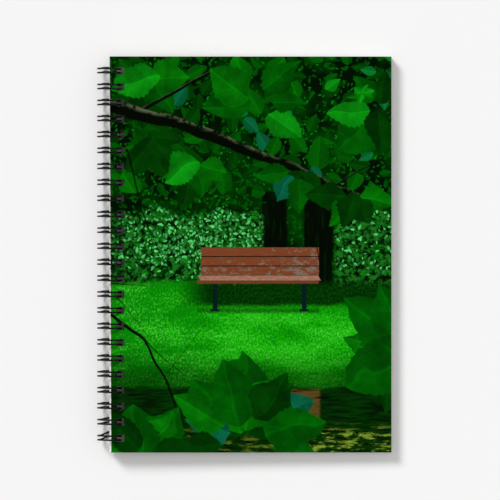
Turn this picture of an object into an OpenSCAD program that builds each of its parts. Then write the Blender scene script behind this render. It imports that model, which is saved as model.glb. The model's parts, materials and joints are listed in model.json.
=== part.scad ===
// Wire-bound A5 sketchbook: a printed card cover, loose drawing sheets and a greyboard back,
// all threaded on one twin-loop binding wire. It lies closed on a table, spine to the left.

/* [Leaves] */
// Width of a sheet, from the spine edge to the fore edge (mm)
leaf_width = 149.5; // [100:0.5:220]
// Height of every leaf along the spine (mm)
leaf_height = 210; // [150:1:300]
// Number of drawing sheets
sheet_count = 32; // [8:2:36]
// Thickness of one drawing sheet (mm)
sheet_thickness = 0.16; // [0.1:0.01:0.2]
// Air between neighbouring leaves (mm)
leaf_gap = 0.02; // [0.01:0.005:0.03]
// Thickness of the laminated front cover (mm)
cover_thickness = 0.4; // [0.2:0.05:0.6]
// How far the cover's spine edge stands back from the sheets' edge (mm)
cover_setback = 0.5; // [0:0.1:0.8]
// Thickness of the greyboard back (mm)
board_thickness = 1.2; // [0.8:0.1:1.4]

/* [Punching] */
// Side of each square hole (mm)
hole_size = 3.8; // [3.6:0.1:4.2]
// Distance from the ring axis to the middle of the holes (mm)
hole_centre = 5.95; // [5.9:0.05:6]
// Distance from the ring axis to the sheets' spine edge (mm)
spine_clearance = 0.05; // [0.05:0.05:0.3]

/* [Binding wire] */
// Number of twin loops
loop_count = 24; // [12:1:24]
// Distance from one twin loop to the next (mm)
loop_pitch = 8.467; // [7.5:0.001:8.5]
// Radius of the ring along the middle of the wire (mm)
ring_radius = 6.1; // [6.1:0.05:6.3]
// Radius of the coated wire (mm)
wire_radius = 0.5; // [0.4:0.05:0.5]
// Distance between the two wires of one loop (mm)
twin_spacing = 2.2; // [2:0.1:2.4]
// Bend radius where a loop turns into its neighbour (mm)
root_bend = 0.8; // [0.7:0.1:0.9]

/* [Display] */
// Piece to show

/* [Hidden] */
sheet_pitch = sheet_thickness + leaf_gap;
stack = board_thickness + sheet_count * sheet_pitch + leaf_gap + cover_thickness;
stack_bottom = -stack / 2;
first_sheet_top = stack / 2 - cover_thickness - leaf_gap;
ring_outer = ring_radius + wire_radius;
fore_edge = spine_clearance + leaf_width;
// The rings and the back's fore edge both rest on the table, so the leaves slope a little.
slope = asin(ring_outer / norm([fore_edge, stack_bottom])) - atan(-stack_bottom / fore_edge);
overall_right = fore_edge * cos(slope) + stack / 2 * sin(slope);
centre_shift = (overall_right - ring_outer) / 2;
first_loop = -(loop_count - 1) * loop_pitch / 2;
cover_colour = [0.05, 0.42, 0.08];
paper_colour = [0.95, 0.94, 0.9];
board_colour = [0.55, 0.53, 0.5];
wire_colour = [0.04, 0.04, 0.045];
curve_steps = 48;
// Ring angles, counted from the leaves upwards: the loops leave their root line on a
// 3-4-5 slope below the back and close at the lowest point of the ring.
root_angle = -acos(0.6);
tip_angle = -90;

function two_digits(i) = str(i < 10 ? "0" : "", i);
function sheet_name(i) = str("sheet_", two_digits(i));

// Puts its children at the ring axis, above the table.
module at_ring_axis() {
    translate([-centre_shift, 0, ring_outer]) children();
}

// The row of square holes, as a flat pattern.
module hole_row() {
    for (i = [0 : loop_count - 1])
        translate([hole_centre, first_loop + i * loop_pitch]) square(hole_size, center = true);
}

// One punched leaf that lies in the sloping stack, its underside at the given height from the axis.
module leaf(underside, thickness, spine_edge) {
    at_ring_axis() rotate([0, slope, 0]) translate([0, 0, underside])
        linear_extrude(thickness) difference() {
            translate([spine_edge, -leaf_height / 2]) square([fore_edge - spine_edge, leaf_height]);
            hole_row();
        }
}

module front_cover() {
    color(cover_colour)
        leaf(stack / 2 - cover_thickness, cover_thickness, spine_clearance + cover_setback);
}

// Sheet 1 is next to the cover and the last sheet is next to the board.
module sheet(i) {
    color(paper_colour)
        leaf(first_sheet_top - sheet_thickness - (i - 1) * sheet_pitch, sheet_thickness, spine_clearance);
}

module backing_board() {
    color(board_colour) leaf(stack_bottom, board_thickness, spine_clearance);
}

// Frame at a ring angle: x points outwards, y along the wire, z towards the foot of the book.
module at_ring_angle(angle) {
    rotate([0, 0, angle]) translate([ring_radius, 0, 0]) children();
}

// A quarter or half ring of wire around z.
module wire_bend(bend_radius, from, sweep) {
    rotate([0, 0, from]) rotate_extrude(angle = sweep, $fn = curve_steps)
        translate([bend_radius, 0]) circle(r = wire_radius, $fn = curve_steps / 2);
}

// Two parallel rings, open between the tip and the root line.
module twin_rings() {
    reach = 3 * ring_outer;
    difference() {
        for (side = [-1, 1]) translate([0, 0, side * twin_spacing / 2])
            rotate_extrude($fn = curve_steps)
                translate([ring_radius, 0]) circle(r = wire_radius, $fn = curve_steps / 2);
        linear_extrude(2 * twin_spacing, center = true)
            polygon([[0, 0], [0, -reach], [0.6 * reach, -0.8 * reach]]);
    }
}

// A twin loop with its rounded tip, and both ends bent along the root line.
module twin_loop() {
    half = twin_spacing / 2;
    twin_rings();
    at_ring_angle(tip_angle) rotate([0, 90, 0]) wire_bend(half, 0, 180);
    at_ring_angle(root_angle) {
        translate([0, 0, half + root_bend]) rotate([0, 90, 0]) wire_bend(root_bend, -90, 90);
        translate([0, 0, -half - root_bend]) rotate([0, 90, 0]) wire_bend(root_bend, 180, 90);
    }
}

// Straight wire between two neighbouring loops.
module root_wire() {
    start = twin_spacing / 2 + root_bend;
    at_ring_angle(root_angle) translate([0, -root_bend, start])
        cylinder(r = wire_radius, h = loop_pitch - 2 * start, $fn = curve_steps / 2);
}

module binding_wire() {
    color(wire_colour) at_ring_axis() rotate([90, 0, 0])
        for (i = [0 : loop_count - 1]) translate([0, 0, first_loop + i * loop_pitch]) {
            twin_loop();
            if (i < loop_count - 1) root_wire();
        }
}

front_cover();
for (i = [1 : sheet_count]) sheet(i);
backing_board();
binding_wire();
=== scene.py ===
"""Wire-bound sketchbook on a pale table: printed cover, drawing sheets, greyboard back and twin-loop wire."""

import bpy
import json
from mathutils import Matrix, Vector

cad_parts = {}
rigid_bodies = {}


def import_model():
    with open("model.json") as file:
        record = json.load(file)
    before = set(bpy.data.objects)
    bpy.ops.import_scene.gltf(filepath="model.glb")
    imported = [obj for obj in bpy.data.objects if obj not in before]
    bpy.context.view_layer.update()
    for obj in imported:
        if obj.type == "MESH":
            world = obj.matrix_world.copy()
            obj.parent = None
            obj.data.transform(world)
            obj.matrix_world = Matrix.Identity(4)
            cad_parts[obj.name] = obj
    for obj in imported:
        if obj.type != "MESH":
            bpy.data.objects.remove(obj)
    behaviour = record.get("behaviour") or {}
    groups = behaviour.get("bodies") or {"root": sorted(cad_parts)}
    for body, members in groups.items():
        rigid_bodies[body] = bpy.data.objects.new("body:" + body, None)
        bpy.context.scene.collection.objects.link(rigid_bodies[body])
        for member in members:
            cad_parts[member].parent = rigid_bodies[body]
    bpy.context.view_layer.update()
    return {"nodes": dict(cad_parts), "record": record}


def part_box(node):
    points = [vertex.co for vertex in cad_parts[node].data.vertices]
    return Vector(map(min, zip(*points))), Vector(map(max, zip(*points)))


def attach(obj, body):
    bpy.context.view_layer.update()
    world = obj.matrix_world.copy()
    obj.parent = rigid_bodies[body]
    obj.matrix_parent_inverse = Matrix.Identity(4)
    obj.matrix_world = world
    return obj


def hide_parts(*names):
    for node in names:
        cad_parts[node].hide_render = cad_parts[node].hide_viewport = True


bl_info = {
    "name": "Wire-bound Sketchbook",
    "version": (1, 0, 0),
    "blender": (4, 5, 0),
    "location": "View3D > Sidebar > Sketchbook",
    "description": "Makes a wire-bound sketchbook with a garden picture on its cover",
    "category": "Object",
}

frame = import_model()

import json
import math

import bpy
import numpy as np
from bpy.props import FloatProperty, FloatVectorProperty, IntProperty, PointerProperty
from bpy.types import Operator, Panel, PropertyGroup
from mathutils import Vector

JOINTS = frame["record"]["behaviour"]["joints"]
ROOT_BODY = JOINTS[0]["parent"]
RING_AXIS = np.array(JOINTS[0]["pos_m"])
SHEETS = sorted(name for name in frame["nodes"] if name.startswith("sheet_"))
MM = 1000  # millimetres in a metre


# ---------- settings


def length(name, default, description, low=0.0):
    """A length property that is shown and stored in millimetres."""
    return FloatProperty(name=name, default=default, min=low, max=300, description=description + ", in mm")


def colour(name, red, green, blue, description):
    """A colour property, given as screen values from 0 to 255 and stored as linear light."""
    light = tuple(linear(level) for level in (red, green, blue))
    return FloatVectorProperty(name=name, subtype="COLOR", min=0, max=1, default=light, description=description)


def number(name, default, description, **more):
    """A plain number that can't be negative."""
    return FloatProperty(name=name, default=default, min=0, description=description, **more)


def linear(level):
    """Screen level from 0 to 255 to linear light, by the sRGB curve."""
    c = level / 255
    return c / 12.92 if c <= 0.04045 else ((c + 0.055) / 1.055) ** 2.4


class SketchbookLeaves(PropertyGroup):
    """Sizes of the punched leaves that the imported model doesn't show by itself."""

    hole_size: length("Hole", 3.8, "Side of each square hole")
    hole_centre: length("Hole centre", 5.95, "From the ring axis to the holes' middle line")
    trim_error: length("Trim error", 0.22, "Most that a sheet's cut edge stands back")
    cover_taper: length("Cover taper", 0.4, "How far the cover's spine edge runs out of square")
    cover_bow: length("Cover bow", 0.12, "Rise of the cover's middle")
    cover_lift: length("Cover lift", 0.2, "Rise of the cover's fore edge")
    seed: IntProperty(name="Seed", default=7, description="Seed of the sheets' small differences")


class SketchbookWire(PropertyGroup):
    """Sizes and colour of the binding wire."""

    loop_count: IntProperty(name="Loops", default=24, min=2, description="Number of twin loops")
    loop_pitch: length("Pitch", 8.467, "From one twin loop to the next")
    wire_radius: length("Wire radius", 0.46, "Radius of the coated wire")
    twin_spacing: length("Twin spacing", 2.2, "Between the two wires of a loop")
    root_bend: length("Root bend", 0.8, "Bend radius at the root line")
    lean: length("Lean", 0.55, "How far the closing side leans towards the head")
    early_lean: length("Early lean", 0.22, "Part of the lean that the turned leaves' holes allow")
    last_lean: length("Last lean", 2.4, "Lean of the loop at the foot, twice that of the next one")
    coating: colour("Coating", 4, 4, 5, "Colour of the nylon coating")
    scuffed: colour("Scuffs", 40, 40, 42, "Colour of the coating where it is rubbed")


class SketchbookPaper(PropertyGroup):
    """Colours of the paper and boards, and the painted shade on the walls of the holes."""

    paper: colour("Drawing paper", 236, 235, 229, "Colour of the drawing sheets")
    paper_shade: colour("Paper shade", 219, 217, 209, "Colour between the paper's fibres")
    card: colour("Cover card", 240, 240, 238, "Colour of the cover's bare side and cut edges")
    # Painted shade: the walls of the holes are near-black, so that the deep holes look dark.
    punched: colour("Hole shade", 5, 5, 5, "Colour of the walls of the holes")
    board: colour("Greyboard", 150, 146, 138, "Colour of the greyboard")
    board_fleck: colour("Board flecks", 92, 89, 84, "Colour of the greyboard's dark flecks")


class SketchbookPicture(PropertyGroup):
    """Inks of the garden picture on the cover."""

    shade: colour("Deep shade", 1, 14, 1, "Gaps between the trees")
    forest: colour("Forest", 1, 78, 2, "Leaves in the background")
    leaf_dark: colour("Dark leaf", 1, 52, 1, "Leaves in shade")
    leaf_mid: colour("Leaf", 4, 100, 3, "Leaves of the near branches")
    leaf_light: colour("Sunlit leaf", 8, 126, 12, "Leaves in the sun")
    leaf_teal: colour("Sky-lit leaf", 6, 84, 56, "Leaves that mirror the sky")
    bush: colour("Bush", 24, 108, 24, "Bush behind the bench")
    blossom: colour("Bush highlights", 92, 212, 114, "Brightest leaves of the bush")
    lawn: colour("Lawn", 24, 178, 6, "Sunlit lawn")
    lawn_light: colour("Lawn highlights", 96, 196, 74, "Tips of the grass")
    lawn_shade: colour("Lawn shade", 5, 124, 3, "Lawn in the trees' shade")
    clover: colour("Clover", 128, 150, 134, "Small flowers in the lawn")
    bark: colour("Bark", 2, 8, 1, "Shaded bark")
    bark_light: colour("Bark highlight", 84, 92, 66, "Upper edge of the branches")
    bench: colour("Bench paint", 118, 62, 36, "Paint of the bench's back")
    bench_seat: colour("Bench seat", 156, 112, 92, "Sunlit seat")
    bench_worn: colour("Worn paint", 118, 116, 104, "Bare wood where the paint has gone")
    bench_frame: colour("Bench frame", 4, 28, 26, "Legs of the bench")
    water: colour("Water", 3, 50, 2, "Shaded pond")
    reflection: colour("Reflection", 84, 66, 26, "The bench's reflection in the pond")
    algae: colour("Algae", 120, 146, 44, "Floating algae")


class SketchbookStage(PropertyGroup):
    """Table, light and camera."""

    floor: colour("Floor", 240, 240, 240, "Colour of the table")
    sky_strength: number("Fill light", 0.6, "Strength of the even fill light")
    key_strength: number("Key light", 2.2, "Strength of the soft key light")
    key_angle: number("Key size", 0.36, "Apparent size of the key light", subtype="ANGLE")
    camera_height: number("Camera height", 4.0, "Height of the camera above the table", unit="LENGTH")
    view_width: length("View width", 265.15, "Width of the view at the cover")
    view_x: length("View centre X", 3.1, "Where the camera stands across the book", -50)
    view_y: length("View centre Y", 2.4, "Where the camera stands along the book", -50)


GROUPS = {
    "sketchbook_leaves": SketchbookLeaves,
    "sketchbook_wire": SketchbookWire,
    "sketchbook_paper": SketchbookPaper,
    "sketchbook_picture": SketchbookPicture,
    "sketchbook_stage": SketchbookStage,
}


# ---------- positions from the frame


def node_points(node):
    """All corners of a CAD node's mesh, one row each, in metres."""
    mesh = frame["nodes"][node].data
    points = np.empty(3 * len(mesh.vertices))
    mesh.vertices.foreach_get("co", points)
    return points.reshape(-1, 3)


def stack_slope():
    """Slope of the leaves, fore edge down: from the board's lower corner at the spine to the one on the table."""
    points = node_points("backing_board")
    spine, fore = points[points[:, 0].argmin()], points[points[:, 2].argmin()]
    return math.atan2(spine[2] - fore[2], fore[0] - spine[0])


SLOPE = stack_slope()


def turned(points, angle):
    """Points turned about Y. The leaf frame starts at the ring axis and is turned back by the slope."""
    x, y, z = points.T
    c, s = math.cos(angle), math.sin(angle)
    return np.stack([x * c + z * s, y, z * c - x * s], axis=1)


def leaf_box(node):
    """Lowest and highest corner of a leaf in the leaf frame, in metres."""
    points = turned(node_points(node) - RING_AXIS, -SLOPE)
    return points.min(0), points.max(0)


# ---------- meshes

ROOT_COSINE = 0.6  # of the ring angle at which the wire meets its root line
BEND_POINTS, RING_POINTS, TIP_POINTS, TUBE_SIDES = 7, 66, 11, 14
EARLY_LEAN_ANGLES = 60, 150  # ring angles in degrees, for the part that passes through the turned leaves
LATE_LEAN_ANGLES = 211, 244
FOOT_LEAN_ANGLES = 212, 285  # for the two loops at the foot
HEAD_LEAN, UNEVEN = 0.3, 0.06  # more lean at the head, and the loops' small differences, in mm
WIRE_SEED = 3
BOARD_ROUNDING = 0.00012
COVER_COLUMNS, SHEET_COLUMNS, BOARD_COLUMNS = 16, 2, 4  # faces across a leaf, from its holes to the fore edge


def new_piece(name, points, faces, materials, indices=None, smooth=0):
    """An object at the origin with the given corners and faces. smooth counts the leading faces shaded smooth."""
    mesh = bpy.data.meshes.new(name)
    mesh.from_pydata(points.tolist(), [], faces)
    for material in materials:
        mesh.materials.append(material)
    if indices is not None:
        mesh.polygons.foreach_set("material_index", indices)
    mesh.polygons.foreach_set("use_smooth", np.arange(len(faces)) < smooth)
    mesh.update()
    mesh.validate()
    piece = bpy.data.objects.new(name, mesh)
    bpy.context.collection.objects.link(piece)
    return piece


def loop_middles(wire):
    """Middle of every twin loop along the spine, in millimetres, from foot to head."""
    return (np.arange(wire.loop_count) - (wire.loop_count - 1) / 2) * wire.loop_pitch


def punched_leaf(scene, name, low, high, materials, columns, shape=None):
    """A flat leaf with square holes along its spine edge.

    A grid of lines runs along every edge of the leaf and of the holes. Each solid cell of it gives a face above and
    one below, and each line between a solid and an open cell gives a wall. shape moves the corners before they are
    sloped into place. The materials are those of the top, of the underside and cut edges, and of the holes' walls;
    the last is near-black painted shade that keeps the deep holes dark.
    """
    leaves, wire = scene.sketchbook_leaves, scene.sketchbook_wire
    reach = np.array([-0.5, 0.5]) * leaves.hole_size
    hole = (reach + leaves.hole_centre) / MM
    across = np.r_[low[0], hole, np.linspace(hole[1], high[0], columns + 1)[1:]]
    along = np.r_[low[1], np.add.outer(loop_middles(wire), reach).ravel() / MM, high[1]]
    nx, ny = len(across), len(along)
    solid = np.ones((nx - 1, ny - 1), bool)
    solid[1, 1::2] = False
    grid_x, grid_y = np.meshgrid(across, along, indexing="ij")
    sides = [np.stack([grid_x.ravel(), grid_y.ravel(), np.full(nx * ny, h)], axis=1) for h in (low[2], high[2])]
    points = np.concatenate(sides)
    if shape is not None:
        points = shape(points)
    up = nx * ny  # from the number of a lower corner to that of the upper one above it
    corner = np.arange(up).reshape(nx, ny)
    cell = corner[:-1, :-1][solid][:, None]
    faces = [cell + [up, up + ny, up + ny + 1, up + 1], cell + [0, 1, ny + 1, ny]]
    inner = []
    padded = np.pad(solid, 1)
    for before, after, starts, step, facing in (
        (padded[:-1, 1:-1], padded[1:, 1:-1], corner[:, :-1], 1, 1),
        (padded[1:-1, :-1], padded[1:-1, 1:], corner[:-1], ny, -1),
    ):
        for mask, order in ((after & ~before, facing), (before & ~after, -facing)):
            first = starts[mask]
            line, last = (first // ny, nx - 1) if step == 1 else (first % ny, ny - 1)
            inner.append((line > 0) & (line < last))
            faces.append((first[:, None] + [0, up, up + step, step])[:, ::order])
    # The walls inside the holes take the last material, near-black painted shade; the outer cut edges take the
    # second.
    indices = np.r_[np.zeros(len(cell), int), np.ones(len(cell), int), 1 + np.concatenate(inner)]
    sloped = turned(points, SLOPE) + RING_AXIS
    return new_piece(name, sloped, np.concatenate(faces).tolist(), materials, indices), points


def soften_edges(piece, width):
    """A small rounding of the cut edges, width in metres."""
    bevel = piece.modifiers.new("Cut edges", "BEVEL")
    bevel.width = width
    bevel.segments = 2
    bevel.limit_method = "ANGLE"
    bevel.angle_limit = math.radians(40)


def wire_path(wire, ring_radius):
    """The middle line of the whole wire, from the foot to the head, in metres from the ring axis.

    Each loop is a quarter circle off the root line, one ring counted by its angle from the leaves upwards, a half
    circle at the tip, the second ring back, and a quarter circle on to the root line. On the ring, x and z are the
    radius times cosine and sine of the angle. The closing side leans along Y: a little from the top on, as much as
    the turned leaves' holes allow, and the rest near the last angle that those leaves reach.
    """
    half, bend = wire.twin_spacing / 2, wire.root_bend
    root, tip = -math.acos(ROOT_COSINE), 1.5 * math.pi

    def on_ring(angle, ahead, y):
        """Point at a ring angle, moved ahead along the ring's tangent there."""
        x = ring_radius * np.cos(angle) - ahead * np.sin(angle)
        z = ring_radius * np.sin(angle) + ahead * np.cos(angle)
        return np.stack([x, y + 0 * x, z], axis=-1)

    quarter = np.linspace(0, math.pi / 2, BEND_POINTS)
    ring = np.linspace(root, tip, RING_POINTS)[1:]
    turn = np.linspace(0, math.pi, TIP_POINTS + 2)[1:-1]
    at_root, at_tip = np.full(BEND_POINTS, root), np.full(TIP_POINTS, tip)
    start = on_ring(at_root, -bend * np.cos(quarter), -half - bend + bend * np.sin(quarter))
    first = on_ring(ring, 0 * ring, -half)
    cap = on_ring(at_tip, half * np.sin(turn), -half * np.cos(turn))
    mirror = np.array([1, -1, 1])
    run = np.concatenate([start, first, cap, first[::-1] * mirror, start[::-1] * mirror])
    angles = np.concatenate([at_root, ring, at_tip, ring[::-1], at_root])

    def smooth(low, high):
        """0 to 1 between two ring angles in degrees, by 3t^2 - 2t^3."""
        t = np.clip((np.degrees(angles) - low) / (high - low), 0, 1)
        return t * t * (3 - 2 * t)

    early = wire.early_lean * smooth(*EARLY_LEAN_ANGLES)
    count = wire.loop_count
    leans = np.full(count, wire.lean)
    leans += np.linspace(0, HEAD_LEAN, count) + np.random.default_rng(WIRE_SEED).uniform(-UNEVEN, UNEVEN, count)
    leans[:2] = wire.last_lean, wire.last_lean / 2
    late = np.repeat(smooth(*LATE_LEAN_ANGLES)[None], count, axis=0)
    late[:2] = smooth(*FOOT_LEAN_ANGLES)
    path = np.repeat(run[None], count, axis=0)
    path[:, :, 1] += loop_middles(wire)[:, None] + early + (leans[:, None] - wire.early_lean) * late
    return path.reshape(-1, 3) / MM


def tube(name, path, radius, sides, material):
    """A round tube along a path, with flat ends.

    The circle at each point lies in the plane of two directions: the one from the ring axis, made square to the
    path, and the cross product of the path's direction with it.
    """
    ahead = np.gradient(path, axis=0)
    ahead /= np.linalg.norm(ahead, axis=1, keepdims=True)
    outward = path * [1, 0, 1]
    outward -= ahead * (outward * ahead).sum(1, keepdims=True)
    outward /= np.linalg.norm(outward, axis=1, keepdims=True)
    side = np.cross(ahead, outward)
    turn = np.linspace(0, 2 * math.pi, sides, endpoint=False)
    circle = np.cos(turn)[None, :, None] * outward[:, None] + np.sin(turn)[None, :, None] * side[:, None]
    points = path[:, None] + radius * circle
    n = len(path)
    index = np.arange(n * sides).reshape(n, sides)
    after = np.roll(index, -1, axis=1)
    quads = np.stack([index[:-1], after[:-1], after[1:], index[1:]], axis=-1).reshape(-1, 4)
    first_end = list(reversed(range(sides)))
    last_end = list(range((n - 1) * sides, n * sides))
    faces = quads.tolist() + [first_end, last_end]
    return new_piece(name, points.reshape(-1, 3) + RING_AXIS, faces, [material], smooth=len(quads))


# ---------- node helpers


class Value:
    """A socket that takes part in arithmetic: each sum, difference, product or quotient places a math node."""

    def __init__(self, net, socket):
        self.net, self.socket = net, socket


for sign, operation in (("add", "ADD"), ("sub", "SUBTRACT"), ("mul", "MULTIPLY"), ("truediv", "DIVIDE")):
    setattr(Value, f"__{sign}__", lambda a, b, kind=operation: a.net.math(kind, a, b))
    setattr(Value, f"__r{sign}__", lambda a, b, kind=operation: a.net.math(kind, b, a))


class Net:
    """Places nodes in one node tree. Numbers are set on sockets and sockets are linked to them."""

    def __init__(self, tree):
        self.tree = tree
        self.column = 0

    def node(self, kind, inputs=None, **settings):
        node = self.tree.nodes.new(kind)
        self.column += 1
        node.location = ((self.column % 40) * 190, -(self.column // 40) * 320)
        for key, value in settings.items():
            setattr(node, key, value)
        for key, value in (inputs or {}).items():
            self.feed(node.inputs[key], value)
        return node

    def feed(self, socket, value):
        value = getattr(value, "socket", value)
        if isinstance(value, bpy.types.NodeSocket):
            self.tree.links.new(value, socket)
        elif isinstance(value, (int, float)):
            socket.default_value = value
        else:
            socket.default_value = (*value, 1.0) if socket.type == "RGBA" else tuple(value)

    def math(self, operation, a, b=0.0, clamp=False):
        return Value(self, self.node("ShaderNodeMath", {0: a, 1: b}, operation=operation, use_clamp=clamp).outputs[0])

    def vector(self, operation, a, b=(0, 0, 0), scale=None):
        node = self.node("ShaderNodeVectorMath", {0: a, 1: b}, operation=operation)
        if scale is not None:
            self.feed(node.inputs["Scale"], scale)
        return Value(self, node.outputs["Value" if operation in ("LENGTH", "DOT_PRODUCT") else "Vector"])

    def xyz(self, x=0.0, y=0.0, z=0.0):
        return self.node("ShaderNodeCombineXYZ", {0: x, 1: y, 2: z}).outputs[0]

    def moved(self, place, x, y=0.0):
        """A place moved by values along x and y."""
        return self.vector("ADD", place, self.node("ShaderNodeCombineXYZ", {0: x, 1: y}).outputs[0])

    def split(self, vector):
        """The first two components, by dot products: an unused third output would hold shader memory."""
        return [self.vector("DOT_PRODUCT", vector, axis) for axis in ((1, 0, 0), (0, 1, 0))]

    def channels(self, colour):
        return [Value(self, out) for out in self.node("ShaderNodeSeparateColor", {0: colour}).outputs]

    def tint(self, colour, shade):
        """A colour times a number. It stays among colour sockets, since conversions hold shader memory."""
        grey = self.node("ShaderNodeCombineColor", {0: shade, 1: shade, 2: shade}).outputs[0]
        return self.mix(1.0, colour, grey, "MULTIPLY")

    def noise(self, vector, scale, detail=2.0, roughness=0.5, distortion=0.0):
        inputs = {"Vector": vector, "Scale": scale, "Detail": detail, "Roughness": roughness}
        node = self.node("ShaderNodeTexNoise", {**inputs, "Distortion": distortion})
        return Value(self, node.outputs["Fac"])

    def stretched(self, place, scales, detail, roughness):
        """Noise with one scale along x and another along y."""
        return self.noise(self.vector("MULTIPLY", place, (*scales, 1)), 1.0, detail, roughness)

    def cells(self, vector, scale, dimensions="2D"):
        """The outputs of a Voronoi pattern at full randomness."""
        inputs = {"Vector": vector, "Scale": scale, "Randomness": 1.0}
        return self.node("ShaderNodeTexVoronoi", inputs, voronoi_dimensions=dimensions).outputs

    def rotate(self, vector, angle):
        """Turned about Z."""
        inputs = {"Vector": vector, "Angle": angle}
        return self.node("ShaderNodeVectorRotate", inputs, rotation_type="Z_AXIS").outputs[0]

    def step(self, value, low, high):
        """0 below low, 1 above high and a smooth slope between them; high may be less than low."""
        inputs = {"Value": value, "From Min": low, "From Max": high, "To Min": 0.0, "To Max": 1.0}
        return Value(self, self.node("ShaderNodeMapRange", inputs, interpolation_type="SMOOTHSTEP").outputs[0])

    def mix(self, factor, a, b, blend="MIX"):
        inputs = {0: factor, 6: a, 7: b}  # the factor and the two colours
        node = self.node("ShaderNodeMix", data_type="RGBA", blend_type=blend)
        for key, value in inputs.items():
            self.feed(node.inputs[key], value)
        return node.outputs[2]

    def group(self, tree, **inputs):
        """The outputs of a group by name. An underscore in an input's name stands for a space."""
        node = self.node("ShaderNodeGroup", node_tree=tree)
        for key, value in inputs.items():
            self.feed(node.inputs[key.replace("_", " ")], value)
        return {out.name: Value(self, out) for out in node.outputs}


SOCKETS = {"vector": "NodeSocketVector", "colour": "NodeSocketColor", "value": "NodeSocketFloat"}


def sockets(text):
    """Names and kinds from a list such as "Place: vector, Scale". The kind is a value unless it is given."""
    for item in text.split(", "):
        label, _, kind = item.partition(": ")
        yield label, kind or "value"


def node_group(name, inputs, outputs, build):
    """A shader node group with named sockets, built once. build gets the Net and the inputs, and returns outputs."""
    if name in bpy.data.node_groups:
        return bpy.data.node_groups[name]
    tree = bpy.data.node_groups.new(name, "ShaderNodeTree")
    for side, listed in (("INPUT", inputs), ("OUTPUT", outputs)):
        for label, kind in sockets(listed):
            tree.interface.new_socket(label, in_out=side, socket_type=SOCKETS[kind])
    net = Net(tree)
    start = net.node("NodeGroupInput").outputs
    made = build(net, {label: Value(net, start[label]) for label, _ in sockets(inputs)})
    end = net.node("NodeGroupOutput")
    for label, value in made.items():
        net.feed(end.inputs[label], value)
    return tree


def material(name, build, **constants):
    """A material whose Principled shader takes constants on its own sockets and patterns from build."""
    made = bpy.data.materials.new(name)
    made.use_nodes = True
    net = Net(made.node_tree)
    shader = made.node_tree.nodes["Principled BSDF"]
    for key, value in constants.items():
        net.feed(shader.inputs[key.replace("_", " ")], value)
    for key, value in build(net).items():
        net.feed(shader.inputs[key], value)
    return made


def bump(net, height, strength, distance):
    """Surface relief from a height, distance in metres."""
    return net.node("ShaderNodeBump", {"Height": height, "Strength": strength, "Distance": distance}).outputs[0]


# ---------- surface effects


def scuff_group():
    """Rubbed places: broad noise chooses where, fine noise breaks the edge."""

    def build(net, start):
        broad = net.noise(start["Place"], start["Scale"], 3, 0.6)
        fine = net.noise(start["Place"], start["Scale"] * 9, 2, 0.7)
        level = broad * 0.75 + fine * 0.25
        edge = 0.78 - start["Amount"] * 0.3
        return {"Mask": net.step(level, edge, edge + 0.07), "Grain": fine}

    return node_group("Scuffs", "Place: vector, Scale, Amount", "Mask, Grain", build)


def fibre_group():
    """Paper fibres: a stretched noise laid over a round one, for colour and for relief."""

    def build(net, start):
        stretched = net.vector("MULTIPLY", start["Place"], (1.0, 0.3, 1.0))
        long = net.noise(stretched, start["Scale"], 3, 0.65, 0.6)
        cloud = net.noise(start["Place"], start["Scale"] * 0.25, 2, 0.5)
        fine = net.noise(start["Place"], start["Scale"] * 2.6, 2, 0.6)
        tone = long * 0.75 + cloud * 0.25
        height = long * 0.6 + fine * 0.4
        return {"Tone": net.step(tone, 0.35, 0.68), "Height": height}

    return node_group("Paper fibres", "Place: vector, Scale", "Tone, Height", build)


def object_place(net):
    return net.node("ShaderNodeTexCoord").outputs["Object"]


def scuffed(net, place, scale, amount, rough):
    """Scuffs and the roughness they leave: rough is that of the untouched surface, and what grain and scuffs add."""
    scuffs = net.group(scuff_group(), Place=place, Scale=scale, Amount=amount)
    return scuffs, rough[0] + scuffs["Grain"] * rough[1] + scuffs["Mask"] * rough[2]


def wire_material(wire):
    """Black nylon coating with a slight orange peel, a little rubbed."""

    def build(net):
        place = object_place(net)
        scuffs, rough = scuffed(net, place, 420.0, 0.35, (0.3, 0.12, 0.2))
        tone = net.mix(scuffs["Mask"] * 0.45, wire.coating, wire.scuffed)
        peel = net.noise(place, 2600, 2, 0.5)
        return {"Base Color": tone, "Roughness": rough, "Normal": bump(net, peel, 0.25, 0.00004)}

    return material("Coated wire", build, Specular_IOR_Level=0.2)


def fibre_material(name, scale, inks, share, rough, relief, specular, finish=None):
    """A fibrous surface: a share of the second ink on the first, roughness and relief that follow the fibres.

    finish may change the tone; it gets the Net, the place and the tone.
    """
    if name in bpy.data.materials:
        return bpy.data.materials[name]

    def build(net):
        place = object_place(net)
        fibres = net.group(fibre_group(), Place=place, Scale=scale)
        tone = net.mix(fibres["Tone"] * share, *inks)
        if finish:
            tone = finish(net, place, tone)
        least, more = rough
        normal = bump(net, fibres["Height"], *relief)
        return {"Base Color": tone, "Roughness": least + fibres["Tone"] * more, "Normal": normal}

    return material(name, build, Specular_IOR_Level=specular)


def paper_material(paper):
    """Uncoated drawing paper: soft fibre relief, and each sheet's cut edge a little different in tone."""

    def layered(net, place, tone):
        height = net.vector("DOT_PRODUCT", place, (math.sin(SLOPE), 0, math.cos(SLOPE)))
        layers = net.noise(net.xyz(0, 0, height * 5200), 1.0, 1, 0.5)
        return net.mix(net.step(layers, 0.4, 0.75) * 0.5, tone, paper.paper_shade)

    inks = paper.paper, paper.paper_shade
    return fibre_material("Drawing paper", 900.0, inks, 0.3, (0.78, 0.12), (0.35, 0.00005), 0.3, layered)


def card_material(paper):
    """The bare side and cut edges of the cover card."""
    inks = paper.card, paper.paper_shade
    return fibre_material("Cover card", 1300.0, inks, 0.4, (0.6, 0.1), (0.2, 0.00003), 0.4)


def hole_shade_material(paper):
    """The walls of the punched holes: near-black painted shade, so that the deep holes stay dark."""
    inks = paper.punched, (0.006, 0.006, 0.006)
    return fibre_material("Painted hole shade", 1300.0, inks, 0.5, (0.9, 0.0), (0.3, 0.00004), 0.1)


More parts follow.
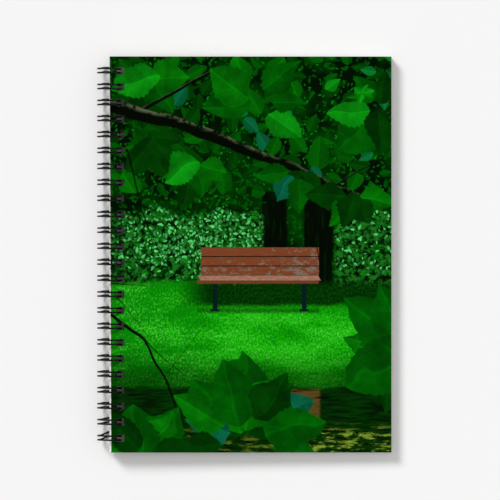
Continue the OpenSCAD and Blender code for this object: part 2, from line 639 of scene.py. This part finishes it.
def board_material(paper):
    """Greyboard of recycled fibres: long fibres, dark flecks and a felted relief."""

    def flecked(net, place, tone):
        spots = net.cells(place, 900.0, "3D")
        size = net.channels(spots["Color"])[0]
        fleck = net.step(spots["Distance"], size * 0.28, 0.02)
        return net.mix(fleck * 0.6, tone, paper.board_fleck)

    inks = paper.board, paper.board_fleck
    return fibre_material("Greyboard", 520.0, inks, 0.45, (0.82, 0.1), (0.5, 0.0001), 0.25, flecked)


# ---------- the garden picture
# Places in the picture are in cover widths: x from the spine edge, y from the foot.

LAYER_NUDGE = 1e-6
TEETH, VEINS = 9, 5  # on one side of a leaf
BACK, SEAT, SEAT_FRONT = (0.322, 0.742), (0.312, 0.74), (0.308, 0.741)  # the bench's parts, from left to right
SEAT_FOOT, SEAT_EDGE, LEG_FOOT = 0.601, 0.612, 0.502
SLATS_FOOT, SLAT_PITCH, SLAT_GAP = 0.629, 0.034, 0.1  # the gap is a share of the pitch


def next_layer(net, place, picture):
    """The same place, moved by a hair that depends on the picture so far.

    The layers are then worked out one after another, and never hold more than the shader's memory.
    """
    return net.vector("ADD", place, net.vector("SCALE", picture, scale=LAYER_NUDGE))


def leaf_outline_group():
    """One leaf along x: its half width is a power of 4t(1-t), narrower towards the tip, with a toothed edge.

    t runs from 0 at the stalk to 1 at the tip. Veins are a sawtooth of t less the distance from the midrib.
    """

    def build(net, start):
        x, y = net.split(start["Place"])
        t = x / start["Length"] + 0.5
        inside = net.math("MULTIPLY", t * 4, 1 - t, clamp=True)
        belly = net.math("POWER", inside, 0.85)
        narrow = 1.4 - t * 0.85
        teeth = 0.94 + net.math("PINGPONG", t * TEETH, 0.5) * 0.2
        reach = belly * narrow * (teeth * start["Width"])
        away = net.math("ABSOLUTE", y)
        edge = reach - away
        across = away / start["Width"]
        ribs = net.math("PINGPONG", t * VEINS - across * 0.9, 0.5)
        ribs = net.step(ribs, 0.09, 0.0) * 0.14
        midrib = net.step(across, 0.09, 0.0) * 0.35
        side = net.step(y / start["Width"], -0.15, 0.15) * 0.28
        shade = (0.76 + side + (ribs + midrib)) * (1.08 - across * 0.22)
        mask = net.step(edge, 0.0, start["Blur"]) * net.step(inside, 0.0, 0.02)
        return {"Mask": mask, "Shade": shade}

    return node_group("Leaf outline", "Place: vector, Length, Width, Blur", "Mask, Shade", build)


def painted_leaf_group():
    """A single leaf laid over what is behind it."""

    def build(net, start):
        place = net.vector("SUBTRACT", start["Place"], start["Middle"])
        place = net.rotate(place, start["Angle"])
        size = {key: start[key] for key in ("Length", "Width", "Blur")}
        outline = net.group(leaf_outline_group(), Place=place, **size)
        ink = net.tint(start["Ink"], outline["Shade"] * start["Blotches"])
        return {"Picture": net.mix(outline["Mask"], start["Behind"], ink)}

    inputs = "Behind: colour, Place: vector, Middle: vector, Angle, Length, Width, Blur, Ink: colour, Blotches"
    return node_group("Painted leaf", inputs, "Picture: colour", build)


def foliage_group():
    """Scattered leaves: one in each cell of a 2D Voronoi pattern, turned and coloured by the cell's random colour."""

    def build(net, start):
        place = net.vector("ADD", net.vector("SCALE", start["Place"], scale=start["Scale"]), start["Shift"])
        cells = net.cells(place, 1.0)
        red, green, blue = net.channels(cells["Color"])
        local = net.vector("SUBTRACT", place, cells["Position"])
        local = net.rotate(local, red * (2 * math.pi))
        size = 0.72 + green * 0.45
        length, width = size * start["Length"], size * start["Width"]
        outline = net.group(leaf_outline_group(), Place=local, Length=length, Width=width, Blur=start["Blur"])
        ink = net.mix(net.math("FRACT", green * 7.3), start["Ink A"], start["Ink B"])
        ink = net.tint(ink, outline["Shade"])
        shown = outline["Mask"] * net.math("LESS_THAN", blue, start["Amount"])
        return {"Picture": net.mix(shown, start["Behind"], ink)}

    inputs = "Behind: colour, Place: vector, Scale, Shift: vector, Amount, "
    inputs += "Ink A: colour, Ink B: colour, Length, Width, Blur"
    return node_group("Foliage", inputs, "Picture: colour", build)


def branch_group():
    """A straight length of branch: the distance to the line between two ends, less a radius that tapers along it."""

    def build(net, start):
        line = net.vector("SUBTRACT", start["End"], start["Start"])
        away = net.vector("SUBTRACT", start["Place"], start["Start"])
        passed, whole = (net.vector("DOT_PRODUCT", run, line) for run in (away, line))
        along = net.math("DIVIDE", passed, whole, clamp=True)
        off = net.vector("SUBTRACT", away, net.vector("SCALE", line, scale=along))
        taper = start["Thick end"] - start["Thick"]
        radius = start["Thick"] + along * taper
        mask = net.step(radius - net.vector("LENGTH", off), 0.0, start["Blur"])
        height = net.split(off)[1] / radius
        grain = net.noise(start["Place"], 34, 3, 0.6)
        lit = net.step(height, 0.2, 0.8) * net.step(grain, 0.36, 0.6)
        ink = net.mix(lit * start["Light"], start["Bark"], start["Bark light"])
        return {"Picture": net.mix(mask, start["Behind"], ink)}

    inputs = "Behind: colour, Place: vector, Start: vector, End: vector, Thick, Thick end, Blur, Light, "
    inputs += "Bark: colour, Bark light: colour"
    return node_group("Branch", inputs, "Picture: colour", build)


def box_mask(net, place, low, high, blur=0.004):
    """1 inside an upright rectangle, from the larger of the distances past its sides."""
    low, high = np.array([*low, 0]), np.array([*high, 0])
    middle, half = (low + high) / 2, (high - low) / 2
    away = net.vector("SUBTRACT", net.vector("ABSOLUTE", net.vector("SUBTRACT", place, middle)), half)
    x, y = net.split(away)
    return net.step(net.math("MAXIMUM", x, y), blur / 2, -blur / 2)


def paint_box(net, place, picture, ink, x, y, blur=0.003):
    """An upright rectangle of one ink, from its ends along x and along y."""
    return net.mix(box_mask(net, place, (x[0], y[0]), (x[1], y[1]), blur), picture, ink)


def paint_foliage(net, place, picture, layers, shown, length, width, blur):
    """Layers of scattered leaves: scale, shift, two inks and an amount, which shown turns into the share shown."""
    for scale, shift, first, second, amount in layers:
        amount = shown(amount)
        picture = net.group(
            foliage_group(), Behind=picture, Place=next_layer(net, place, picture), Scale=scale, Shift=shift,
            Amount=amount, Ink_A=first, Ink_B=second, Length=length, Width=width, Blur=blur,
        )["Picture"]
    return picture


def paint_backdrop(net, place, inks):
    """Dark trees with specks of leaf, two trunks and a bush, from the far side of the lawn upwards."""
    shift = net.noise(place, 5, 3, 0.6)
    picture = net.mix(net.step(shift, 0.42, 0.66), inks.shade, inks.leaf_dark)
    x, y = net.split(place)
    trees = (
        (28, (11.3, 2.9, 0), inks.forest, inks.leaf_dark, 0.6),
        (44, (3.1, 7.7, 0), inks.forest, inks.leaf_dark, 0.6),
        (72, (5.9, 13.1, 0), inks.leaf_light, inks.forest, 0.2),
    )
    picture = paint_foliage(net, place, picture, trees, float, 1.0, 0.27, 0.1)
    trunk_grain = net.stretched(place, (70, 9), 3, 0.6)
    bark = net.mix(net.step(trunk_grain, 0.5, 0.95), inks.bark, inks.leaf_dark)
    sway = net.moved(place, (shift - 0.5) * 0.02)
    for left, right, foot in ((0.54, 0.63, 0.575), (0.69, 0.79, 0.585)):
        picture = paint_box(net, sway, picture, bark, (left, right), (foot, 0.93), 0.008)
    edge = net.noise(net.vector("MULTIPLY", place, (1, 0.4, 1)), 9, 3, 0.6)
    top = 0.79 + edge * 0.14 - y
    bushes = net.math("MAXIMUM", net.step(x, 0.55, 0.53), net.step(x, 0.79, 0.81))
    bush = net.step(top, 0.0, 0.02) * bushes
    green = net.mix(net.step(net.noise(place, 46, 4, 0.7), 0.42, 0.6), inks.shade, inks.bush)
    right = net.step(x, 0.75, 0.6) * net.step(x, 0.02, 0.2)
    leaves = (
        (34, (1.7, 4.1, 0), inks.leaf_light, inks.leaf_dark, 0.6),
        (48, (9.2, 6.3, 0), inks.blossom, inks.leaf_dark, 0.7),
        (70, (4.4, 8.8, 0), inks.blossom, inks.forest, 0.8),
    )

    def shown(amount):
        """Most in the middle of the bush, and fewer leaves towards its foot."""
        return (0.45 + right * 0.55) * amount * net.step(y, 0.58, 0.72)

    return net.mix(bush, picture, paint_foliage(net, place, green, leaves, shown, 1.0, 0.3, 0.16))


def paint_lawn(net, place, behind, inks):
    """The lawn: short upright strokes of grass, lighter tips, flowers, and the shade under the trees."""
    place = next_layer(net, place, behind)
    x, y = net.split(place)
    blades = net.stretched(place, (150, 105), 3, 0.7)
    patches = net.stretched(place, (5, 13), 3, 0.55)
    level = blades * 0.55 + patches * 0.45 + (net.step(x, -0.1, 0.55) - 0.7) * 0.1
    grass = net.mix(net.step(level, 0.41, 0.6), inks.lawn_shade, inks.lawn)
    tips = net.step(blades, 0.5, 0.68) * net.step(patches, 0.4, 0.66)
    grass = net.mix(tips, grass, inks.lawn_light)
    flowers = net.cells(place, 85.0)
    chosen = net.math("LESS_THAN", net.channels(flowers["Color"])[0], 0.16)
    speck = net.step(flowers["Distance"], 0.2, 0.1) * chosen * net.step(y, 0.52, 0.45)
    grass = net.mix(speck * 0.45, grass, inks.clover)
    line = y + (patches - 0.5) * 0.06
    shade = net.step(line, 0.5, 0.535) * net.step(x, 0.2, 0.36)
    low = net.step(line, 0.4, 0.24) * 0.8
    shade = net.math("MAXIMUM", shade * 0.97, low)
    grass = net.mix(shade, grass, net.mix(net.step(blades, 0.35, 0.65), inks.shade, inks.leaf_dark))
    top = y + (blades + patches) * 0.05
    return net.mix(net.step(top, 0.672, 0.64), behind, grass)


def paint_pond(net, place, behind, inks):
    """The pond: flat ripples, the bench's reflection and streaks of algae."""
    place = next_layer(net, place, behind)
    x, y = net.split(place)
    ripples = net.stretched(place, (11, 85), 3, 0.6)
    water = net.mix(net.step(ripples, 0.3, 0.7), inks.shade, inks.water)
    rippled = net.moved(place, (ripples - 0.5) * 0.03)
    box = box_mask(net, rippled, (0.5, 0.095), (0.745, 0.225), 0.01)
    water = net.mix(box * net.step(ripples, 0.3, 0.52), water, inks.reflection)
    streaks = net.stretched(place, (17, 70), 4, 0.7)
    near, right = net.step(y, 0.115, 0.05), net.step(x, 0.5, 0.7)
    algae = net.step(streaks, 0.5, 0.62) * (near * (0.35 + right * 0.65))
    water = net.mix(algae, water, inks.algae)
    bank = net.stretched(place, (7, 2), 3, 0.6)
    edge = y + (bank - 0.5) * 0.05
    return net.mix(net.step(edge, 0.24, 0.225), behind, water)


def paint_bench(net, place, picture, inks):
    """A plain slatted bench: two legs, three back slats with dark gaps, a light seat and worn paint."""
    place = next_layer(net, place, picture)
    ground = box_mask(net, place, (0.31, 0.497), (0.745, 0.512), 0.012)
    picture = net.mix(ground * 0.6, picture, inks.shade)
    for left in (0.364, 0.681):
        leg = box_mask(net, place, (left, 0.505), (left + 0.017, 0.61), 0.003)
        foot = box_mask(net, place, (left - 0.008, LEG_FOOT), (left + 0.024, 0.511), 0.003)
        picture = net.mix(net.math("MAXIMUM", leg, foot), picture, inks.bench_frame)
    x, y = net.split(place)
    grain = net.stretched(place, (26, 150), 3, 0.6)
    worn = net.stretched(place, (34, 62), 4, 0.8)
    right, lower = net.step(x, 0.5, 0.72) * 0.06, net.step(y, 0.705, 0.66) * 0.06
    worn = net.step(worn + (lower + right), 0.58, 0.68)
    worn_grain = net.stretched(place, (40, 150), 3, 0.7)
    slat = net.math("FRACT", (y - SLATS_FOOT) / SLAT_PITCH)
    line = net.step(slat, SLAT_GAP / 2, SLAT_GAP) * net.step(slat, 1.0, 1 - SLAT_GAP / 2)
    paint = net.tint(inks.bench, 0.78 + grain * 0.4)
    paint = net.mix(worn * 0.75, paint, inks.bench_worn)
    paint = net.mix(line, inks.shade, paint)
    picture = paint_box(net, place, picture, paint, BACK, (SLATS_FOOT, SLATS_FOOT + 3 * SLAT_PITCH))
    lean = net.moved(place, (y - SLATS_FOOT) * 0.5)
    seat = net.tint(inks.bench_seat, 0.2 + worn_grain * 1.5)
    picture = paint_box(net, lean, picture, seat, SEAT, (SEAT_EDGE, 0.63))
    front = net.tint(inks.bench, 0.62 + grain * 0.4)
    return paint_box(net, place, picture, front, SEAT_FRONT, (SEAT_FOOT, SEAT_EDGE))


# Each limb: its two ends, how thick it is at each, and how much light falls on it.
LIMBS = (
    ((0.12, 1.225), (0.38, 1.365), 0.0085, 0.006, 0.9),
    ((-0.03, 1.24), (0.26, 1.165), 0.025, 0.024, 1.0),
    ((0.26, 1.165), (0.56, 1.05), 0.024, 0.019, 1.0),
    ((0.56, 1.05), (0.97, 0.87), 0.019, 0.013, 0.6),
    ((0.7, 0.975), (0.745, 0.66), 0.006, 0.003, 0.2),
    ((0.8, 0.955), (0.99, 1.06), 0.005, 0.003, 0.9),
    ((0.06, 1.08), (0.11, 0.87), 0.005, 0.004, 0.2),
    ((0.11, 0.87), (0.21, 0.63), 0.0045, 0.003, 0.2),
    ((-0.01, 0.5), (0.12, 0.4), 0.008, 0.007, 0.3),
    ((0.12, 0.4), (0.2, 0.25), 0.007, 0.006, 0.3),
    ((0.2, 0.25), (0.255, 0.1), 0.0065, 0.005, 0.3),
    ((0.12, 0.4), (0.27, 0.27), 0.004, 0.003, 0.3),
    ((0.2, 0.28), (0.33, 0.45), 0.0035, 0.002, 0.4),
    ((0.02, 0.56), (0.14, 0.4), 0.0035, 0.0025, 0.2),
    ((-0.01, 0.6), (0.2, 0.59), 0.004, 0.002, 0.4),
)


def paint_branches(net, place, picture, inks):
    """The long branch across the top with its side branch, and bare twigs towards the foot of the spine."""
    place = next_layer(net, place, picture)
    wobble = net.noise(place, 7, 2, 0.5) - 0.5
    bent = net.moved(place, wobble * 0.02, wobble * 0.03)
    for first, last, thick, thin, light in LIMBS:
        picture = net.group(
            branch_group(), Behind=picture, Place=bent, Start=(*first, 0), End=(*last, 0), Thick=thick,
            Thick_end=thin, Blur=0.004, Light=light, Bark=inks.bark, Bark_light=inks.bark_light,
        )["Picture"]
    return picture


def paint_spray(net, place, picture, inks, middle, count, spread, reach, size, seed, lit=False):
    """Leaves that fan out from one point: each at its own angle and reach, from the back to the front."""
    place = next_layer(net, place, picture)
    light, waves = net.noise(place, 13, 4, 0.6), net.noise(place, 8, 1, 0.4)
    blotches = 0.1 + light * 1.8
    waves = waves - 0.5
    bend = net.xyz(waves * 0.09, waves * -0.06)
    place = net.vector("ADD", place, bend)
    rng = np.random.default_rng(seed)
    choice = (inks.leaf_dark, inks.forest, inks.leaf_mid, inks.leaf_light, inks.leaf_teal)
    chances = (0, 0, 0.2, 0.8, 0) if lit else (0.36, 0.3, 0.24, 0.04, 0.06)
    angles = np.linspace(*spread, count)[rng.permutation(count)]
    for angle in angles:
        angle += rng.uniform(-0.2, 0.2)
        length = size * rng.uniform(0.8, 1.25)
        out = reach * rng.uniform(0.6, 1.1)
        at = (middle[0] + out * math.cos(angle), middle[1] + out * math.sin(angle), 0)
        ink = choice[rng.choice(5, p=chances)]
        picture = net.group(
            painted_leaf_group(), Behind=picture, Place=place, Middle=at, Angle=-angle, Length=length,
            Width=0.34 * length * rng.uniform(0.85, 1.2), Blur=0.006, Ink=ink, Blotches=blotches,
        )["Picture"]
    return picture


def paint_canopy(net, place, behind, inks):
    """Near leaves above the bench: four scattered layers that thin out below, then sprays on the branches."""
    place = next_layer(net, place, behind)
    _, y = net.split(place)
    leaves = (
        (16, (2.3, 5.1, 0), inks.forest, inks.leaf_dark, (0.7, 0.84, 0.96)),
        (12, (7.9, 1.3, 0), inks.leaf_dark, inks.leaf_mid, (0.5, 0.86, 1.0)),
        (9, (6.1, 3.3, 0), inks.leaf_mid, inks.leaf_dark, (0.42, 0.88, 1.0)),
        (13, (4.6, 9.4, 0), inks.leaf_light, inks.leaf_teal, (0.2, 0.94, 1.08)),
    )

    def shown(amount):
        """The most of the layer, and the heights between which it thins out."""
        most, low, high = amount
        return net.step(y, low, high) * most

    picture = paint_foliage(net, place, behind, leaves, shown, 1.05, 0.33, 0.05)
    picture = paint_spray(net, place, picture, inks, (0.14, 1.34), 5, (3.3, 6.1), 0.1, 0.15, 12)
    return paint_spray(net, place, picture, inks, (0.16, 1.12), 4, (3.4, 6.1), 0.08, 0.13, 17)


# Each spray: its middle, number of leaves, range of angles, reach, leaf size, seed, and True for sunlit leaves.
SPRAYS = (
    ((0.47, 0.05), 14, (-0.1, 3.2), 0.19, 0.22, 9),
    ((0.12, -0.02), 8, (0.0, 2.8), 0.13, 0.2, 5),
    ((1.07, 0.36), 5, (2.0, 4.2), 0.15, 0.24, 19),
    ((0.3, 1.03), 5, (3.4, 5.8), 0.1, 0.13, 12),
    ((0.67, 1.0), 5, (3.2, 5.6), 0.09, 0.12, 31),
    ((0.86, 0.92), 5, (3.2, 5.9), 0.1, 0.13, 14),
    ((0.5, 1.25), 6, (-0.8, 3.4), 0.14, 0.15, 44),
    ((0.97, 1.2), 5, (1.6, 4.6), 0.12, 0.16, 8),
    ((0.89, 1.28), 6, (0.0, 6.0), 0.03, 0.05, 2, True),
)


def picture_group(inks):
    """The whole picture, painted from the back to the front."""

    def build(net, start):
        place = start["Place"]
        picture = paint_backdrop(net, place, inks)
        picture = paint_lawn(net, place, picture, inks)
        picture = paint_pond(net, place, picture, inks)
        picture = paint_bench(net, place, picture, inks)
        picture = paint_canopy(net, place, picture, inks)
        picture = paint_branches(net, place, picture, inks)
        for middle, count, spread, reach, size, seed, *lit in SPRAYS:
            picture = paint_spray(net, place, picture, inks, middle, count, spread, reach, size, seed, bool(lit))
        return {"Picture": picture}

    return node_group("Garden picture", "Place: vector", "Picture: colour", build)


def cover_material(inks):
    """The printed picture under a satin laminate: fine waves and a little dust-like grain in the film."""

    def build(net):
        place = net.node("ShaderNodeAttribute", attribute_name="picture", attribute_type="GEOMETRY").outputs["Vector"]
        picture = net.group(picture_group(inks), Place=place)["Picture"]
        film = object_place(net)
        scuffs, rough = scuffed(net, film, 160.0, 0.2, (0.42, 0.1, 0.12))
        waves = net.noise(film, 60, 2, 0.5) + scuffs["Grain"] * 0.15
        return {"Base Color": picture, "Roughness": rough, "Normal": bump(net, waves, 0.2, 0.0001)}

    return material("Printed cover", build, Specular_IOR_Level=0.01)


# ---------- operators

KEY_DIRECTION = 0.74, -0.87, -1.0
TABLE_HALF = 2.0
SENSOR_WIDTH = 36.0


def finish_piece(piece, node, body):
    """The piece stands for its CAD node, which is hidden, and rides on the body."""
    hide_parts(node)
    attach(piece, body)


class SKETCHBOOK_OT_cover(Operator):
    """Make the printed front cover"""

    bl_idname = "sketchbook.cover"
    bl_label = "Front Cover"

    def execute(self, context):
        scene = context.scene
        leaves = scene.sketchbook_leaves
        low, high = leaf_box("front_cover")
        taper, bow, lift = (v / MM for v in (leaves.cover_taper, leaves.cover_bow, leaves.cover_lift))

        def shape(points):
            """The spine edge runs out of square; the middle rises by a sine, the fore edge by a square."""
            x, y, z = points.T.copy()
            edge = np.isclose(x, low[0])
            x = np.where(edge, x - taper * y / high[1], x)
            u = (x - low[0]) / (high[0] - low[0])
            z = z + bow * np.sin(np.pi * np.clip(u, 0, 1)) + lift * u * u
            return np.stack([x, y, z], axis=1)

        paper = scene.sketchbook_paper
        materials = [cover_material(scene.sketchbook_picture), card_material(paper), hole_shade_material(paper)]
        piece, points = punched_leaf(scene, "printed_cover", low, high, materials, COVER_COLUMNS, shape)
        picture = (points - low) / (high[0] - low[0]) * [1, 1, 0]
        attribute = piece.data.attributes.new("picture", "FLOAT_VECTOR", "POINT")
        attribute.data.foreach_set("vector", picture.astype(np.float32).ravel())
        finish_piece(piece, "front_cover", "front_cover")
        return {"FINISHED"}


class SKETCHBOOK_OT_sheets(Operator):
    """Make the drawing sheets, each trimmed a little differently"""

    bl_idname = "sketchbook.sheets"
    bl_label = "Drawing Sheets"

    def execute(self, context):
        scene = context.scene
        leaves = scene.sketchbook_leaves
        rng = np.random.default_rng(leaves.seed)
        paper = paper_material(scene.sketchbook_paper)
        materials = [paper, paper, hole_shade_material(scene.sketchbook_paper)]
        trim = leaves.trim_error / MM
        for node in SHEETS:
            low, high = leaf_box(node)
            back = rng.uniform(0, trim, 4) * [0.4, 1, 1, 1]
            low = low + [back[0], back[1], 0]
            high = high - [back[2], back[3], 0]
            piece, _ = punched_leaf(scene, "paper_" + node[-2:], low, high, materials, SHEET_COLUMNS)
            finish_piece(piece, node, node)
        return {"FINISHED"}


class SKETCHBOOK_OT_board(Operator):
    """Make the greyboard back"""

    bl_idname = "sketchbook.board"
    bl_label = "Greyboard Back"

    def execute(self, context):
        scene = context.scene
        low, high = leaf_box("backing_board")
        board = board_material(scene.sketchbook_paper)
        materials = [board, board, hole_shade_material(scene.sketchbook_paper)]
        piece, _ = punched_leaf(scene, "greyboard_back", low, high, materials, BOARD_COLUMNS)
        soften_edges(piece, BOARD_ROUNDING)
        finish_piece(piece, "backing_board", ROOT_BODY)
        return {"FINISHED"}


class SKETCHBOOK_OT_wire(Operator):
    """Make the twin-loop binding wire"""

    bl_idname = "sketchbook.wire"
    bl_label = "Binding Wire"

    def execute(self, context):
        wire = context.scene.sketchbook_wire
        low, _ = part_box("binding_wire")
        ring_radius = MM * (RING_AXIS[0] - low.x) - wire.wire_radius
        path = wire_path(wire, ring_radius)
        piece = tube("twin_loop_wire", path, wire.wire_radius / MM, TUBE_SIDES, wire_material(wire))
        finish_piece(piece, "binding_wire", ROOT_BODY)
        return {"FINISHED"}


class SKETCHBOOK_OT_stage(Operator):
    """Make the table, the light and the camera"""

    bl_idname = "sketchbook.stage"
    bl_label = "Table, Light and Camera"

    def execute(self, context):
        scene = context.scene
        stage = scene.sketchbook_stage

        def floor_paint(net):
            grain = net.noise(object_place(net), 900, 2, 0.5)
            return {"Roughness": 0.85 + grain * 0.1}

        corners = np.array([[-1, -1, 0], [1, -1, 0], [1, 1, 0], [-1, 1, 0]]) * TABLE_HALF
        paint = material("Table", floor_paint, Base_Color=stage.floor, Specular_IOR_Level=0.0)
        new_piece("table", corners, [[0, 1, 2, 3]], [paint])

        world = bpy.data.worlds.new("Studio")
        world.use_nodes = True
        sky = world.node_tree.nodes["Background"].inputs
        sky["Color"].default_value = (1, 1, 1, 1)
        sky["Strength"].default_value = stage.sky_strength
        scene.world = world

        key = bpy.data.lights.new("Key light", "SUN")
        key.energy = stage.key_strength
        key.angle = stage.key_angle
        lamp = bpy.data.objects.new("Key light", key)
        lamp.rotation_euler = Vector(KEY_DIRECTION).to_track_quat("-Z", "Y").to_euler()
        scene.collection.objects.link(lamp)

        data = bpy.data.cameras.new("Camera")
        camera = bpy.data.objects.new("Camera", data)
        cover_low, cover_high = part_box("front_cover")
        cover_height = (cover_low.z + cover_high.z) / 2
        camera.location = (stage.view_x / MM, stage.view_y / MM, stage.camera_height)
        data.sensor_width = SENSOR_WIDTH
        data.lens = SENSOR_WIDTH * (stage.camera_height - cover_height) / (stage.view_width / MM)
        scene.collection.objects.link(camera)
        scene.camera = camera
        scene.view_settings.view_transform = "Standard"
        return {"FINISHED"}


class SKETCHBOOK_PT_panel(Panel):
    """Lists the sketchbook's pieces"""

    bl_label = "Sketchbook"
    bl_idname = "SKETCHBOOK_PT_panel"
    bl_space_type = "VIEW_3D"
    bl_region_type = "UI"
    bl_category = "Sketchbook"

    def draw(self, context):
        layout = self.layout
        for operator in OPERATORS:
            layout.operator(operator.bl_idname)
        for name, settings in GROUPS.items():
            box = layout.box()
            box.label(text=settings.__name__)
            for prop in settings.__annotations__:
                box.prop(getattr(context.scene, name), prop)


OPERATORS = SKETCHBOOK_OT_stage, SKETCHBOOK_OT_cover, SKETCHBOOK_OT_sheets, SKETCHBOOK_OT_board, SKETCHBOOK_OT_wire
CLASSES = (*GROUPS.values(), *OPERATORS, SKETCHBOOK_PT_panel)


def register():
    for cls in CLASSES:
        bpy.utils.register_class(cls)
    for name, settings in GROUPS.items():
        setattr(bpy.types.Scene, name, PointerProperty(type=settings))


def unregister():
    for name in GROUPS:
        delattr(bpy.types.Scene, name)
    for cls in reversed(CLASSES):
        bpy.utils.unregister_class(cls)


def main():
    register()
    for operator in OPERATORS:
        category, name = operator.bl_idname.split(".")
        getattr(getattr(bpy.ops, category), name)()
    bpy.context.view_layer.update()


if __name__ == "__main__":
    main()
